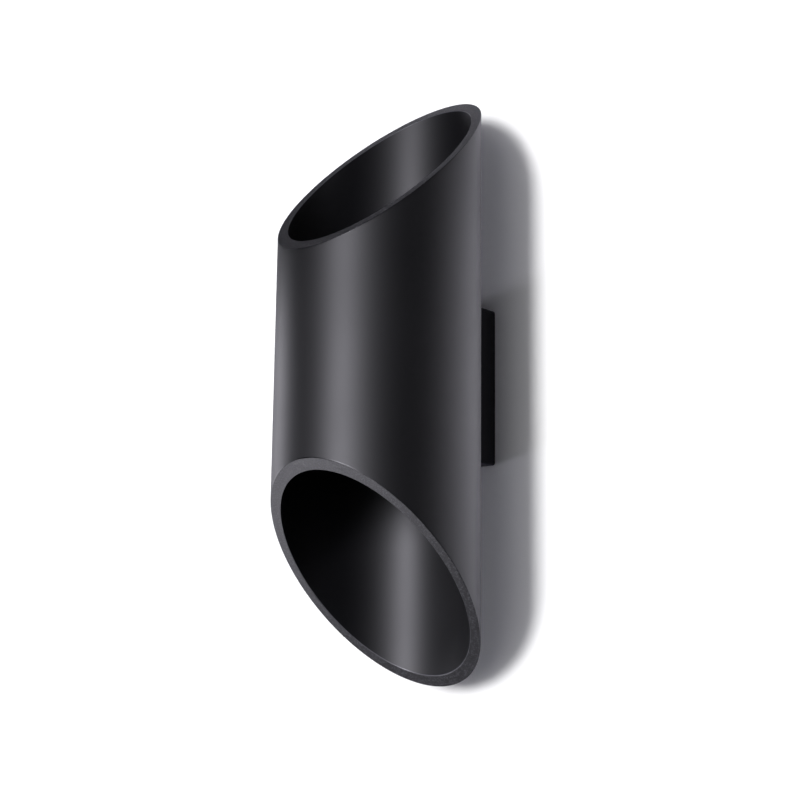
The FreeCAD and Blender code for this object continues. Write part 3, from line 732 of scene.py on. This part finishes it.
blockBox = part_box("terminal_block")
blockMiddle = (blockBox[0].z + blockBox[1].z) / 2
terminals = {
    "blockEdge": 0.15 * mm,
    "metalEdge": 0.07 * mm,
    "blockThread": {
        "along": 1, "centre": (5.25 * mm, -16.8 * mm, blockMiddle), "twins": (0,),
        "side": 1, "radius": 1.25 * mm, "pitch": 0.45 * mm,
    },
    "earthThread": {
        "along": 1, "centre": (12 * mm, -16.8 * mm, 24 * mm), "twins": (),
        "side": 1, "radius": 2 * mm, "pitch": 0.7 * mm,
    },
}

blockMaterial = mouldedFinish("natural_nylon")
softenedCopy("terminal_block", blockMaterial, terminals["blockEdge"])
brassMaterial = metalFinish("bright_brass")
tinMaterial = metalFinish("tinned_copper")
for name in ("terminal_screws", "terminal_block_nuts", "earth_star_washer"):
    softenedCopy(name, zincMaterial, terminals["metalEdge"])
for name in ("terminal_inserts", "earth_nut"):
    softenedCopy(name, brassMaterial, terminals["metalEdge"])
for name in ("lead_ferrules", "earth_lug"):
    softenedCopy(name, tinMaterial, terminals["metalEdge"])
for name, thread in (("terminal_block_studs", "blockThread"), ("earth_stud", "earthThread")):
    threaded = metalFinish("zinc_steel", terminals[thread])
    softenedCopy(name, threaded, terminals["metalEdge"])
print("terminals made")


# Studio: a white wall, a broad key light in front of it, a light low along it from the left
# that reaches behind the tube, two small pale panels on the left that show in the gloss
# alone, a faint light from behind, and otherwise a dark room

studio = {
    "wallSize": 3.0,
    "wallGap": 0.2 * mm,
    "wallWhite": (0.930, 0.944, 0.866, 1.0),  # neutral once the light's tint is on it
    "wallPaintedReflection": (0.08, 1.65, 0.18),  # painted reflection, brighter near the tube, in the gloss: far level, what nearness adds, reach
    "keyLights": (  # way from the lamp to the light, brightness on white paper, width in degrees
        (Vector((0.05, -1.0, 0.17)), 0.46, 13.0),
        (Vector((0.05, -1.0, 0.00)), 0.46, 13.0),
        (Vector((0.14, -1.0, 0.08)), 0.25, 46.0),
    ),
    "grazeLight": (Vector((-1.0, -0.14, -0.22)), 0.35, 9.0),
    "rearLight": (Vector((0.35, 1.0, 0.3)), 0.10, 70.0),
    "panels": (  # place, size, level
        (Vector((-0.30, -0.115, 0.000)), (0.20, 0.13), 3.9),
        (Vector((-0.235, -0.20, -0.30)), (0.14, 0.14), 9.0),
    ),
    "panelAim": Vector((0.0, -0.10, -0.04)),
    "tint": (0.985, 0.970, 1.060),
    "fillTint": (0.985, 0.962, 1.190),  # of what fills the shadow: the low light and the room
    "roomLevel": 0.168,
    "roomGloss": 0.01,  # the room's level in the gloss
}


def wallFinish():
    # In the gloss it darkens with distance, a painted reflection that is brightest near the
    # tube, and it is clear to the camera behind it and to shadow rays.
    shader = newMaterial("wall_paint", grey(0.9))
    back = shader.node("ShaderNodeNewGeometry", {}, {}, "Backfacing")
    camera, glossy, shadow = shader.rays("Is Camera Ray", "Is Glossy Ray", "Is Shadow Ray")
    far, near, reach = studio["wallPaintedReflection"]
    length = {"operation": "LENGTH"}
    distance = shader.node("ShaderNodeVectorMath", length, {0: shader.place}, "Value")
    # painted reflection: the wall's colour in the gloss rises above white near the tube
    level = far + near * (0 - (distance / reach) ** 2).math("EXPONENT")
    colour = shader.blend(glossy, studio["wallWhite"], level)
    paint = shader.node("ShaderNodeBsdfDiffuse", {}, {"Color": colour})
    clear = shader.node("ShaderNodeBsdfTransparent", {}, {})
    seeThrough = (camera * back).math("MAXIMUM", shadow)
    return shader.link(
        shader.node("ShaderNodeMixShader", {}, {0: seeThrough, 1: paint, 2: clear})
    )


def buildWall():
    mesh = bmesh.new()
    turn = Matrix.Rotation(math.radians(90), 3, "X")
    place = (0, cadBox[1].y + studio["wallGap"], 0)
    bmesh.ops.create_grid(mesh, x_segments=1, y_segments=1, size=studio["wallSize"] / 2)
    bmesh.ops.rotate(mesh, verts=mesh.verts, matrix=turn)
    bmesh.ops.translate(mesh, verts=mesh.verts, vec=place)
    wall = addPiece("wall", mesh)
    wall.data.materials.append(wallFinish())


def addLight(name, data, place, way):
    data.color = studio["tint"]
    light = bpy.data.objects.new(name, data)
    light.location = place
    light.rotation_mode = "QUATERNION"
    light.rotation_quaternion = way.to_track_quat("Z", "X")
    bpy.context.scene.collection.objects.link(light)
    return light


def sunLight(name, way, level, width):
    # A sun whose light on a white sheet that faces it has the given brightness.
    data = bpy.data.lights.new(name, "SUN")
    data.energy = level * math.pi
    data.angle = math.radians(width)
    return addLight(name, data, Vector(), way)


def panelLight(place, size, level):
    data = bpy.data.lights.new("panel", "AREA")
    data.shape = "RECTANGLE"
    data.size, data.size_y = size
    data.energy = level * math.pi * data.size * data.size_y
    addLight("panel", data, place, place - studio["panelAim"]).visible_diffuse = False


def buildLights():
    for key in studio["keyLights"]:
        sunLight("key", *key)
    graze = sunLight("graze", *studio["grazeLight"])
    graze.visible_glossy = False
    graze.data.color = studio["fillTint"]
    for panel in studio["panels"]:
        panelLight(*panel)
    sunLight("rear", *studio["rearLight"])


def buildRoom():
    # White to the camera, dim to everything else
    room = bpy.data.worlds.new("room")
    bpy.context.scene.world = room
    shader = Shader(room)
    camera, glossy = shader.rays("Is Camera Ray", "Is Glossy Ray")
    level = studio["roomLevel"] + glossy * (studio["roomGloss"] - studio["roomLevel"])
    level = level + camera * (1 - level)
    colour = shader.blend(camera, (*studio["fillTint"], 1.0), grey(1.0))
    light = shader.node("ShaderNodeBackground", {}, {"Color": colour, "Strength": level})
    shader.link(light, "ShaderNodeOutputWorld")


camera = {  # in metres, degrees and millimetres
    "place": Vector((0.493, -0.630, -0.1656)),
    "azimuth": 40.423,
    "elevation": -11.402,
    "roll": 0.659,
    "lens": 71.15,
    "sensor": 36.0,
}


def buildCamera():
    turn = math.radians(camera["azimuth"])
    tilt = math.radians(camera["elevation"])
    roll = math.radians(camera["roll"])
    level = math.cos(tilt)
    back = Vector((math.sin(turn) * level, -math.cos(turn) * level, math.sin(tilt)))
    right = Vector((math.cos(turn), math.sin(turn), 0))
    up = back.cross(right)
    rolledRight = right * math.cos(roll) + up * math.sin(roll)
    rolledUp = up * math.cos(roll) - right * math.sin(roll)
    data = bpy.data.cameras.new("camera")
    data.lens = camera["lens"]
    data.sensor_width = camera["sensor"]
    view = bpy.data.objects.new("camera", data)
    bpy.context.scene.collection.objects.link(view)
    matrix = Matrix((rolledRight, rolledUp, back)).transposed().to_4x4()
    matrix.translation = camera["place"]
    view.matrix_world = matrix
    bpy.context.scene.camera = view


buildWall()
buildLights()
buildRoom()
buildCamera()
bpy.context.scene.view_settings.view_transform = "Standard"
print("studio ready")
